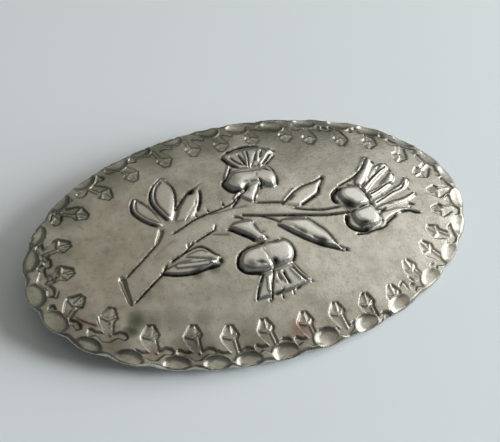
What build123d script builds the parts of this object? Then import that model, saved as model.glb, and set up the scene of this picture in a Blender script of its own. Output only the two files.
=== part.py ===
from build123d import *
from math import atan, cos, degrees, radians, sin, sqrt
import os

# An oval brooch of one domed metal sheet, with a thistle spray worked up from behind, leaf marks
# and round hollows punched along its border, and a plain pin fitting on its back.
# It is built face up about the middle of its rim's plane, X along the long way and Y up the face,
# and is then tilted and set down on the table as its fitting and rim carry it.

# The sheet
plate_length = 63.4
plate_width = 37.5
dome_height = 1.5
sheet = 0.9

# The border: leaf marks with their tips towards the middle, and hollows on the edge
mark_inset = 5.0
mark_length = 4.2
mark_width = 3.6
mark_depth = 0.3
rib_width = 0.25
hollow_inset = 0.6
hollow_radius = 1.7
hollow_depth = 0.4
lobe_rise = 0.25

# The spray, raised on the face
stem_rise = 0.3
leaf_rise = 0.55
stalk_rise = 0.45
floret_rise = 0.45
bulb_rise = 0.95
bulb_radius = 2.05

# The fitting behind: a hinge block, a wire and a hooked catch in one piece
fitting_gap = 0.05
fitting_offset = 3.0
hinge_setback = 17.0
hinge_reach = 4.1
hinge_width = 4.6
hinge_foot = 5.0
knuckle_radius = 1.2
catch_setback = 17.0
catch_reach = 2.8
catch_width = 2.6
catch_wall = 0.7
wire_radius = 0.5
wire_overhang = 3.0
hook_mouth = 0.7

half_length = plate_length / 2
half_width = plate_width / 2
long_radius = (half_length**2 + dome_height**2) / (2 * dome_height)
short_radius = (half_width**2 + dome_height**2) / (2 * dome_height)
dome_pivot = dome_height - long_radius
layer_margin = 1.15
relief_top = 2 * bulb_rise
tool_reach = dome_height + relief_top + sheet

# One leaf mark a row: its place round the rim in degrees of the oval, counted from the right end
# towards the top, and how many degrees it leans from square to the rim
leaf_marks = [
    {"place": 154, "lean": -43}, {"place": 139, "lean": -23}, {"place": 128, "lean": -10},
    {"place": 118, "lean": -1}, {"place": 107, "lean": 1}, {"place": 98, "lean": 9},
    {"place": 90, "lean": 8}, {"place": 80, "lean": 0}, {"place": 70, "lean": 1},
    {"place": 61, "lean": -4}, {"place": 50, "lean": -13}, {"place": 40, "lean": -9},
    {"place": 24, "lean": -12}, {"place": 8, "lean": -12}, {"place": -10, "lean": -12},
    {"place": -25, "lean": -31}, {"place": -37, "lean": -14}, {"place": -46, "lean": 1},
    {"place": -56, "lean": 1}, {"place": -65, "lean": 5}, {"place": -74, "lean": 10},
    {"place": -83, "lean": 4}, {"place": -92, "lean": 1}, {"place": -102, "lean": -8},
    {"place": -112, "lean": -5}, {"place": -122, "lean": -9}, {"place": -134, "lean": -18},
    {"place": -150, "lean": -21}, {"place": -165, "lean": -14}, {"place": -187, "lean": -17},
]

# Where the hollows are, in degrees of the oval
hollow_places = [
    166, 154, 141, 130, 120, 110, 101, 91, 82, 72, 62, 51, 40, 27, 14, 1,
    -13, -27, -41, -53, -66, -77, -88, -99, -108, -117, -126, -137, -150, -164, -178,
]

# A leaf mark's outline on its right: how far down from the tip as a share of its length, and how
# far out as a share of its width
mark_outline = [
    {"down": 0.00, "out": 0.00}, {"down": 0.16, "out": 0.22}, {"down": 0.38, "out": 0.29},
    {"down": 0.48, "out": 0.14}, {"down": 0.66, "out": 0.13}, {"down": 0.62, "out": 0.42},
    {"down": 0.80, "out": 0.50}, {"down": 0.88, "out": 0.26}, {"down": 1.00, "out": 0.10},
]

# The stem, as shares of the half length and half width: its upper and lower edge at each station
stem_stations = [
    {"along": -0.64, "upper": -0.13, "lower": -0.32}, {"along": -0.52, "upper": 0.00, "lower": -0.19},
    {"along": -0.43, "upper": 0.11, "lower": -0.10}, {"along": -0.32, "upper": 0.15, "lower": 0.00},
    {"along": -0.20, "upper": 0.18, "lower": 0.06}, {"along": -0.08, "upper": 0.18, "lower": 0.09},
    {"along": 0.03, "upper": 0.17, "lower": 0.05}, {"along": 0.13, "upper": 0.11, "lower": -0.01},
    {"along": 0.18, "upper": 0.04, "lower": -0.03},
]

# Leaves and stalks from base to tip in the same shares, with half the width as a share of the
# piece's own length
leaves = [
    {"base": (-0.42, 0.19), "tip": (-0.48, 0.47), "fullness": 0.19},
    {"base": (-0.38, 0.21), "tip": (-0.32, 0.60), "fullness": 0.20},
    {"base": (-0.35, 0.19), "tip": (-0.20, 0.42), "fullness": 0.16},
    {"base": (-0.47, -0.14), "tip": (-0.25, -0.21), "fullness": 0.18},
    {"base": (0.13, 0.10), "tip": (0.36, 0.26), "fullness": 0.15},
    {"base": (0.075, -0.03), "tip": (0.27, -0.39), "fullness": 0.15},
]
stalks = [
    {"base": (-0.06, 0.16), "tip": (0.06, 0.34), "fullness": 0.14},
    {"base": (-0.11, 0.12), "tip": (-0.05, -0.17), "fullness": 0.13},
    {"base": (0.11, 0.03), "tip": (0.41, -0.08), "fullness": 0.07},
]

# Thistle heads: the middles of a head's two bulbs, and its fan of florets between a near and a far
# line, with the widths of these lines as shares of the half width
thistles = [
    {"bulbs": [(-0.02, 0.385), (0.095, 0.38)], "near": (0.06, 0.47), "far": (0.09, 0.66),
     "near_width": 0.14, "far_width": 0.36, "florets": 5},
    {"bulbs": [(0.44, 0.035), (0.452, -0.175)], "near": (0.51, -0.05), "far": (0.71, 0.03),
     "near_width": 0.30, "far_width": 0.52, "florets": 6},
    {"bulbs": [(-0.122, -0.272), (0.003, -0.272)], "near": (-0.05, -0.37), "far": (-0.055, -0.56),
     "near_width": 0.19, "far_width": 0.37, "florets": 5},
]
floret_fullness = 0.13


# A point of the face, from shares of its half length and half width
def on_face(shares):
    return Vector(shares[0] * half_length, shares[1] * half_width)


# The face's height over the rim's plane
def dome_at(spot):
    across = long_radius - short_radius + sqrt(short_radius**2 - spot.Y**2)
    return dome_pivot + sqrt(across**2 - spot.X**2)


# A point of the rim moved inwards, and the direction straight in from there
def on_rim(place, inset):
    turn = radians(place)
    inwards = Vector(-half_width * cos(turn), -half_length * sin(turn)).normalized()
    rim = Vector(half_length * cos(turn), half_width * sin(turn))
    return rim + inwards * inset, inwards


# The layer of space between two heights over the domed face, lofted along it through arcs
def dome_layer(low, high, mode=Mode.ADD):
    reach = half_width * layer_margin
    sections = []
    for share in (-layer_margin, -0.6, 0, 0.6, layer_margin):
        middle = Vector(share * half_length, 0)
        with BuildSketch(Plane(middle, x_dir=(0, 1, 0), z_dir=(1, 0, 0))) as section:
            with BuildLine():
                crown = dome_at(middle)
                side = dome_at(middle + Vector(0, reach))
                under = ThreePointArc((-reach, side + low), (0, crown + low), (reach, side + low))
                over = ThreePointArc((-reach, side + high), (0, crown + high), (reach, side + high))
                Line(under @ 0, over @ 0)
                Line(under @ 1, over @ 1)
            make_face()
        sections.append(section.sketch.face())
    loft(sections, mode=mode)


# A leaf mark's cutter: a straight-walled blank with a rib missing along the middle of the leaf
def mark_cutter(row):
    tip, inwards = on_rim(row["place"], mark_inset)
    down = inwards.rotate(Axis.Z, 180 - row["lean"])
    middle = tip + down * (mark_length / 2)
    floor = middle + Vector(0, 0, dome_at(middle) - mark_depth)
    slope = Vector(middle.X / long_radius, middle.Y / short_radius, 1)
    tilted_down = down - slope * (down.dot(slope) / slope.dot(slope))
    outline = [((p["down"] - 0.5) * mark_length, p["out"] * mark_width) for p in mark_outline]
    mirrored = [(along, -out) for along, out in outline[:0:-1]]
    with BuildPart() as cutter:
        with BuildSketch(Plane(floor, x_dir=tilted_down, z_dir=slope)):
            with BuildLine():
                Polyline(*outline, *mirrored, close=True)
            make_face()
            with Locations((-mark_length * 0.26, 0)):
                Rectangle(mark_length * 0.28, rib_width, mode=Mode.SUBTRACT)
        extrude(amount=relief_top)
    return cutter.part


# A raised leaf, stalk or floret: a spindle about a line under the face, cut off inside the sheet. It is
# so thick and so long that its width and length where it leaves the face are the ones asked for.
def swelling(base, tip, half_shown, rise):
    half = (half_shown**2 + rise**2) / (2 * rise)
    hidden = (tip - base) * (sqrt(half / rise) - 1) / 2
    start, end = base - hidden, tip + hidden
    low = start + Vector(0, 0, dome_at(start) + rise - half)
    along = end + Vector(0, 0, dome_at(end) + rise - half) - low
    with BuildPart() as spindle:
        with BuildSketch(Plane(low, x_dir=along, z_dir=(-along.Y, along.X, 0))):
            with BuildLine():
                ThreePointArc((0, 0), (along.length / 2, half), (along.length, 0))
                Line((along.length, 0), (0, 0))
            make_face()
        revolve(axis=Axis(low, along))
        dome_layer(-sheet / 2, relief_top, Mode.INTERSECT)
    return spindle.part


# The base, tip, half width and rise of every spindle of the spray
def spray_pieces():
    pieces = []
    for rows, rise in ((leaves, leaf_rise), (stalks, stalk_rise)):
        for row in rows:
            base, tip = on_face(row["base"]), on_face(row["tip"])
            pieces.append((base, tip, (tip - base).length * row["fullness"], rise))
    for head in thistles:
        near, far = on_face(head["near"]), on_face(head["far"])
        aside = (far - near).normalized().rotate(Axis.Z, 90) * half_width
        for count in range(head["florets"]):
            share = count / (head["florets"] - 1) - 0.5
            base = near + aside * head["near_width"] * share
            tip = far + aside * head["far_width"] * share
            pieces.append((base, tip, (tip - base).length * floret_fullness, floret_rise))
    return pieces


# The stem's outline, upper edge first
def stem_outline():
    upper = [on_face((row["along"], row["upper"])) for row in stem_stations]
    lower = [on_face((row["along"], row["lower"])) for row in stem_stations]
    return upper + lower[::-1]


bulb_places = [on_face(shares) for head in thistles for shares in head["bulbs"]]

swellings = [swelling(*piece) for piece in spray_pieces()]
mark_cutters = [mark_cutter(row) for row in leaf_marks]

# The spray: a flat stem, and leaves, stalks, florets and bulbs that swell from the face. They reach
# down into the middle of the sheet.
with BuildPart() as bulbs:
    bulb_ball = (bulb_radius**2 + bulb_rise**2) / (2 * bulb_rise)
    sunk = bulb_rise - bulb_ball
    with Locations(*[place + Vector(0, 0, dome_at(place) + sunk) for place in bulb_places]):
        Sphere(bulb_ball, rotation=(0, 90, 0))
    dome_layer(-sheet / 2, relief_top, Mode.INTERSECT)
with BuildPart() as spray:
    with BuildSketch(Plane.XY.offset(-tool_reach)):
        with BuildLine():
            Polyline(*stem_outline(), close=True)
        make_face()
    extrude(amount=2 * tool_reach)
    dome_layer(-sheet / 2, stem_rise, Mode.INTERSECT)
    add([*swellings, bulbs.part])

# The plate
hollow_ball = (hollow_radius**2 + hollow_depth**2) / (2 * hollow_depth)
hollow_middles = [on_rim(place, hollow_inset)[0] for place in hollow_places]
with BuildPart() as plate:
    dome_layer(-sheet, 0)
    raised = hollow_ball - hollow_depth
    with Locations(*[place + Vector(0, 0, dome_at(place) + raised) for place in hollow_middles]):
        Sphere(hollow_ball, rotation=(0, -90, 0), mode=Mode.SUBTRACT)
    with BuildSketch(Plane.XY.offset(-tool_reach)):
        with BuildLine():
            for index, place in enumerate(hollow_places):
                after = hollow_places[(index + 1) % len(hollow_places)]
                before = hollow_places[index - 1]
                left = (place + before + (360 if before < place else 0)) / 2
                right = (place + after - (360 if after > place else 0)) / 2
                start = on_rim(left, lobe_rise / 2)[0]
                crest = on_rim(place, -lobe_rise / 2)[0]
                end = on_rim(right, lobe_rise / 2)[0]
                ThreePointArc(start, crest, end)
        make_face()
    extrude(amount=2 * tool_reach, mode=Mode.INTERSECT)
    add(mark_cutters, mode=Mode.SUBTRACT)
    add(spray.part)

# The fitting
hinge_x = -hinge_setback
catch_x = catch_setback
wire_start = Vector(hinge_x, fitting_offset, knuckle_radius - hinge_reach)
hook_radius = wire_radius + catch_wall
wire_hook = Vector(catch_x, fitting_offset, hook_radius - catch_reach)
wire_run = (wire_hook - wire_start).normalized()
wire_length = (wire_hook - wire_start).length + catch_width / 2 + wire_overhang
with BuildPart() as pin:
    hinge_end = (hinge_x, fitting_offset + hinge_width / 2, 0)
    with BuildSketch(Plane(hinge_end, x_dir=(1, 0, 0), z_dir=(0, -1, 0))):
        with BuildLine():
            CenterArc((0, wire_start.Z), knuckle_radius, 180, 180)
            Polyline((-knuckle_radius, wire_start.Z), (-hinge_foot / 2, dome_height),
                     (hinge_foot / 2, dome_height), (knuckle_radius, wire_start.Z))
        make_face()
    extrude(amount=hinge_width)
    catch_end = (catch_x - catch_width / 2, fitting_offset, 0)
    with BuildSketch(Plane(catch_end, x_dir=(0, 1, 0), z_dir=(1, 0, 0))):
        with Locations((0, wire_hook.Z)):
            Circle(hook_radius)
        with Locations((catch_wall / 2 - hook_radius, (dome_height + wire_hook.Z) / 2)):
            Rectangle(catch_wall, dome_height - wire_hook.Z)
        with Locations((hook_radius, wire_hook.Z + hook_mouth)):
            Rectangle(2 * hook_radius, hook_mouth, mode=Mode.SUBTRACT)
    extrude(amount=catch_width)
    with BuildSketch(Plane(wire_start, z_dir=wire_run)):
        Circle(wire_radius)
    extrude(amount=wire_length)
    with BuildSketch(Plane(wire_start + wire_run * wire_length, z_dir=wire_run)):
        Circle(wire_radius)
    extrude(amount=4 * wire_radius, taper=12)
    dome_layer(-sheet - fitting_gap, relief_top, Mode.SUBTRACT)

# How the brooch lies. The table touches the hinge, the catch and the rim's under edge, and at any
# place it is gap + slope_x * x + slope_y * y below that edge's plane. The two fitting points leave
# one slope free, and it is the one at which the table only just reaches the oval:
# square * slope_y**2 + 2 * linear * slope_y + rest = 0
hinge_touch = (hinge_x, fitting_offset - hinge_width / 2)
catch_touch = (catch_x + catch_width / 2, fitting_offset)
run = hinge_touch[0] - catch_touch[0]
fall = (hinge_reach - catch_reach) / run
twist = (catch_touch[1] - hinge_touch[1]) / run
base_gap = hinge_reach - sheet - fall * hinge_touch[0]
lean_gap = -hinge_touch[1] - twist * hinge_touch[0]
square = (half_length * twist) ** 2 + half_width**2 - lean_gap**2
linear = half_length**2 * fall * twist - base_gap * lean_gap
rest = (half_length * fall) ** 2 - base_gap**2
slope_y = (-linear + sqrt(linear**2 - square * rest)) / square
slope_x = fall + twist * slope_y
gap = base_gap + lean_gap * slope_y
table = Plane((0, 0, -sheet - gap), x_dir=(1, 0, -slope_x), z_dir=(slope_x, slope_y, 1))
tilted = [table.to_local_coords(piece.part) for piece in (plate, pin)]
middle = Compound(tilted).bounding_box().center()
seat = Pos(-middle.X, -middle.Y, 0)

os.makedirs("parts", exist_ok=True)
for label, piece in zip(("plate", "pin"), tilted):
    resting = seat * piece
    resting.label = label
    export_step(resting, f"parts/{label}.step")
tilts = [round(degrees(atan(slope)), 2) for slope in (slope_x, slope_y)]
print("tilt along and across in degrees:", tilts)
print("table under the middle of the rim's plane:", round(sheet + gap, 3), "moved by", seat.position)
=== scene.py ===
import bmesh
import bpy
import math
import numpy as np
from mathutils import Matrix, Vector


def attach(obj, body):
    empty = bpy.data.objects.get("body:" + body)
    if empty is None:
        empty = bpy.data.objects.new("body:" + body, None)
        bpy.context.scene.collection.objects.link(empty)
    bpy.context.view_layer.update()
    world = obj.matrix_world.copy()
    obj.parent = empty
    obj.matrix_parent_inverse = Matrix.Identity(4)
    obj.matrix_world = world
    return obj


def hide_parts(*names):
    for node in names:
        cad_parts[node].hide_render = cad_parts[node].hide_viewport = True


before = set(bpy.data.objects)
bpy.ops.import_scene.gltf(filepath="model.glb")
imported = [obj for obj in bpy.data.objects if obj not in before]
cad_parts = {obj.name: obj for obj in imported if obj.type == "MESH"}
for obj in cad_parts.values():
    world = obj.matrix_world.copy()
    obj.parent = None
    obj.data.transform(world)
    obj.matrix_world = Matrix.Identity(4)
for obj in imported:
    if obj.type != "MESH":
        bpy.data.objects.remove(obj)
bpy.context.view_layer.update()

mm = 0.001

# How the brooch lies, as in the solids: the slopes of its rim's plane, how far the table is below the
# middle of that plane, and the shift that centres it, in mm
lie = {"slopeX": -0.0436, "slopeY": 0.1038, "drop": 3.286, "shiftX": -0.119, "shiftY": 0.277}

upAxis = Vector((lie["slopeX"], lie["slopeY"], 1)).normalized()
longAxis = Vector((1, 0, -lie["slopeX"])).normalized()
turnToTable = Matrix((longAxis, upAxis.cross(longAxis), upAxis)).to_4x4()
shift = Matrix.Translation((lie["shiftX"], lie["shiftY"], 0))
toTable = Matrix.Scale(mm, 4) @ shift @ turnToTable @ Matrix.Translation((0, 0, lie["drop"]))

# The camera, about the brooch's own face: angles in degrees, distances and the lens in mm
view = {"elevation": 52.3, "yaw": 37.5, "roll": 16.3, "distance": 112.0, "aimX": -1.8, "aimY": 0.57,
        "lens": 59.7, "nearest": 5.0}


def addCamera():
    rise, roll = math.radians(view["elevation"]), math.radians(view["roll"])
    back = Vector((0, -math.cos(rise), math.sin(rise)))
    side = Vector((1, 0, 0))
    top = Vector((0, math.sin(rise), math.cos(rise)))
    turned = Matrix((side * math.cos(roll) + top * math.sin(roll),
                     top * math.cos(roll) - side * math.sin(roll), back)).transposed().to_4x4()
    place = back * view["distance"] + Vector((view["aimX"], view["aimY"], 0))
    swing = Matrix.Rotation(-math.radians(view["yaw"]), 4, "Z")
    whole = toTable @ swing @ Matrix.Translation(place) @ turned
    where, turn = whole.decompose()[:2]
    camera = bpy.data.objects.new("camera", bpy.data.cameras.new("camera"))
    camera.data.lens = view["lens"]
    camera.data.clip_start = view["nearest"] * mm
    camera.matrix_world = Matrix.LocRotScale(where, turn, None)
    bpy.context.scene.collection.objects.link(camera)
    bpy.context.scene.camera = camera


addCamera()
print("camera placed")


# Colours are written as in a paint program and turned to linear light here
def tint(code):
    shares = [int(code[i:i + 2], 16) / 255 for i in (1, 3, 5)]
    return (*[s / 12.92 if s <= 0.04045 else ((s + 0.055) / 1.055) ** 2.4 for s in shares], 1.0)


def addNode(tree, kind, settings={}, inputs={}):
    node = tree.nodes.new(kind)
    for name, value in settings.items():
        setattr(node, name, value)
    for name, value in inputs.items():
        if isinstance(value, bpy.types.NodeSocket):
            tree.links.new(value, node.inputs[name])
        else:
            node.inputs[name].default_value = value
    return node


def startMaterial(name):
    material = bpy.data.materials.new(name)
    material.use_nodes = True
    return material, material.node_tree.nodes["Principled BSDF"]


# The studio: a pale floor under a dim sky, and four lights. The key light is low on the right and casts
# the shadow to the left, and the metal doesn't mirror it. A long strip gives the metal its highlights, a
# window brightens the right of the face, and a large softbox hangs overhead. Places and sizes are in
# metres and powers in watts.
studio = {"floor": "#E4EAEA", "floorReach": 1.5, "floorRoughness": 0.7, "sky": "#E9ECEF", "skyPower": 0.14}
lights = [
    {"name": "keyLight", "place": (0.562, -0.325, 0.262), "wide": 0.25, "tall": 0.5, "power": 5.3,
     "tint": "#F6FAFF", "inGloss": False},
    {"name": "stripLight", "place": (0.92, -0.16, 0.43), "wide": 1.0, "tall": 0.5, "power": 4.4,
     "tint": "#FBFBFF", "inGloss": True},
    {"name": "windowLight", "place": (0.807, 0.262, 0.530), "wide": 0.75, "tall": 1.1, "power": 1.1,
     "tint": "#FBFBFF", "inGloss": True},
    {"name": "boxLight", "place": (0.28, 0.28, 1.13), "wide": 1.8, "tall": 1.8, "power": 3.3,
     "tint": "#FFF8EA", "inGloss": True}]


def addLight(row):
    data = bpy.data.lights.new(row["name"], "AREA")
    data.shape = "RECTANGLE"
    data.size, data.size_y = row["wide"], row["tall"]
    data.energy = row["power"]
    data.color = tint(row["tint"])[:3]
    light = bpy.data.objects.new(row["name"], data)
    light.location = row["place"]
    light.rotation_euler = Vector(row["place"]).to_track_quat("Z", "Y").to_euler()
    light.visible_glossy = row["inGloss"]
    bpy.context.scene.collection.objects.link(light)


def addStudio():
    for row in lights:
        addLight(row)
    world = bpy.data.worlds.new("sky")
    world.use_nodes = True
    sky = world.node_tree.nodes["Background"]
    sky.inputs["Color"].default_value = tint(studio["sky"])
    sky.inputs["Strength"].default_value = studio["skyPower"]
    bpy.context.scene.world = world
    bm = bmesh.new()
    bmesh.ops.create_grid(bm, x_segments=1, y_segments=1, size=studio["floorReach"])
    mesh = bpy.data.meshes.new("floor")
    bm.to_mesh(mesh)
    bm.free()
    floor = bpy.data.objects.new("floor", mesh)
    bpy.context.scene.collection.objects.link(floor)
    paint, shader = startMaterial("matte painted board")
    shader.inputs["Base Color"].default_value = tint(studio["floor"])
    shader.inputs["Roughness"].default_value = studio["floorRoughness"]
    mesh.materials.append(paint)


addStudio()
bpy.context.scene.view_settings.view_transform = "Standard"
print("studio lit")

# The sheet, in mm about the middle of its rim's plane, X along it and Y up the face. The lobes fade
# towards the middle by a power, and the back follows a share of what is worked up from behind.
plate = {"halfLength": 31.7, "halfWidth": 18.75, "crown": 1.5, "sheet": 0.9, "thinnest": 0.2,
         "lobeRise": 0.25, "lobeFade": 8, "backShare": 0.85, "rimBulge": 0.07}

# What use has done, in mm, with painted light: a rim worn lower, metal painted brighter on what stands
# high for its wear and as a painted sheen, and grime with painted shade that thins out from every edge.
# The grime and shade and the back's tarnish are from 0 to 1.
wearAndPaintedLight = {"rimDrop": 0.25, "rimReach": 0.5, "wearAndSheenRise": 0.5, "grimeAndShadeReach": 0.7, "grimeAndShade": 0.12,
        "backTarnish": 0.08}

# The planishing hammer's ripple: its height and the scales of its four waves, in mm, and their sway
ripple = {"height": 0.03, "scales": (2.3, 3.1, 1.9, 2.7), "sway": 1.2}

# The cells of the mesh: their size, how near to a form they are divided, and how much bend divides them
# again. The slab is only a start, and its thickness isn't kept.
cells = {"size": 0.5, "slab": 0.5, "nearForm": 0.8, "bend": 0.012}

# One leaf mark. Its wall is partly down at the outline, and its ground is a little dark, with a darker
# line just inside the outline and lighter ribs.
mark = {"reach": 6.5, "depth": 0.26, "wall": 0.18, "wallStart": 0.3, "ribRise": 0.17, "ribHalf": 0.28,
        "ground": 0.12, "line": 0.4, "lineInset": 0.15, "lineHalf": 0.14, "ribLighter": 0.8}

# Leaf marks, punched from the front: the tip's X and Y, the bearing from the tip to the foot, and how
# hard it was struck
leafMarks = [
    (-24.8, 5.1, -94, 1.2), (-21.3, 8.4, -57, 1.1), (-17.5, 10.2, -35, 0.9), (-13.4, 12.0, -18, 0.7),
    (-8.4, 13.0, -9, 0.6), (-4.1, 13.7, 4, 0.5), (0.0, 13.4, 8, 0.6), (4.9, 13.2, 6, 0.5),
    (9.9, 12.5, 13, 0.6), (13.2, 11.1, 13, 0.8), (17.8, 9.6, 13, 1.0), (21.6, 8.0, 27, 0.9),
    (24.6, 4.5, 40, 0.9), (25.9, 1.3, 65, 1.0), (26.1, -1.8, 95, 1.0), (24.9, -4.9, 97, 1.1),
    (22.3, -7.3, 128, 0.9), (20.0, -9.2, 150, 0.8), (16.1, -11.1, 159, 0.7), (12.1, -13.8, 170, 0.9),
    (8.1, -13.8, 180, 1.2), (3.6, -13.8, 180, 0.9), (-0.9, -13.7, 182, 1.1), (-6.2, -13.0, 180, 1.1),
    (-10.6, -12.4, 188, 1.1), (-14.8, -10.9, 191, 1.1), (-19.6, -9.2, 192, 1.1), (-23.2, -5.4, 204, 1.0),
    (-25.8, -2.6, 232, 1.3), (-25.6, 1.1, 265, 1.1)]

# The outline of one leaf mark, in mm down from its tip and out from its middle, and the ribs that the
# punch leaves standing in it
markOutline = [
    (0.0, 0.15), (0.45, 0.55), (1.3, 1.2), (2.0, 1.1), (2.7, 0.75), (3.3, 0.5), (3.25, 1.3), (2.85, 1.9),
    (3.05, 2.25), (3.5, 2.3), (4.1, 2.1), (3.8, 1.35), (4.35, 0.7), (4.6, 0.3), (4.65, -0.4), (4.35, -0.8),
    (4.0, -1.4), (4.3, -2.2), (3.8, -2.6), (3.3, -2.25), (3.1, -1.5), (3.35, -1.0), (3.4, -0.8),
    (2.7, -0.75), (2.0, -0.72), (1.8, -0.9), (1.5, -1.15), (0.85, -0.95), (0.1, -0.65)]
markRibs = [((0.25, -0.25), (1.65, 0.0)), ((1.7, 0.05), (1.35, 0.85)), ((1.6, -0.15), (1.2, -0.75)),
            ((1.95, -0.36), (3.6, -0.42))]

# One hollow. Its bowl is part round and part flat, and it blends into the face just past its rim. A darker
# ring lies along the rim, but not on the outer side. The blend and the ring's place, width and side are in
# shares of the hollow's size.
hollow = {"reach": 4, "along": 1.75, "across": 1.2, "meanHalf": 1.5, "edgeGap": 0.1, "depth": 0.42,
          "round": 0.4, "blend": 0.1, "ring": 0.45, "ringAt": 0.95, "ringHalf": 0.15, "ringSide": 0.5}

# Round hollows along the edge, with how hard each was struck
hollows = [
    (-30.2, 4.2, 0.8), (-28.5, 7.6, 0.9), (-24.3, 11.7, 1.0), (-20.2, 14.1, 1.0), (-15.0, 15.8, 1.0),
    (-11.3, 17.0, 1.0), (-6.3, 17.7, 1.0), (-0.6, 17.9, 1.0), (3.8, 17.3, 1.0), (9.1, 16.3, 1.0),
    (14.4, 15.8, 1.0), (19.4, 14.0, 0.9), (23.4, 11.6, 0.8), (27.9, 8.2, 0.7), (30.2, 4.3, 0.5),
    (31.2, 0.6, 0.5), (30.3, -3.8, 0.5), (27.8, -8.0, 0.5), (23.7, -11.8, 0.6), (18.8, -14.4, 0.6),
    (12.4, -16.6, 0.7), (6.8, -17.6, 0.9), (0.8, -17.7, 1.0), (-5.0, -17.8, 1.0), (-9.7, -17.4, 1.0),
    (-13.6, -16.6, 1.0), (-18.2, -15.1, 1.0), (-23.2, -12.5, 1.0), (-27.2, -9.4, 0.9), (-29.6, -5.0, 0.8),
    (-30.9, -0.8, 0.8)]

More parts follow.
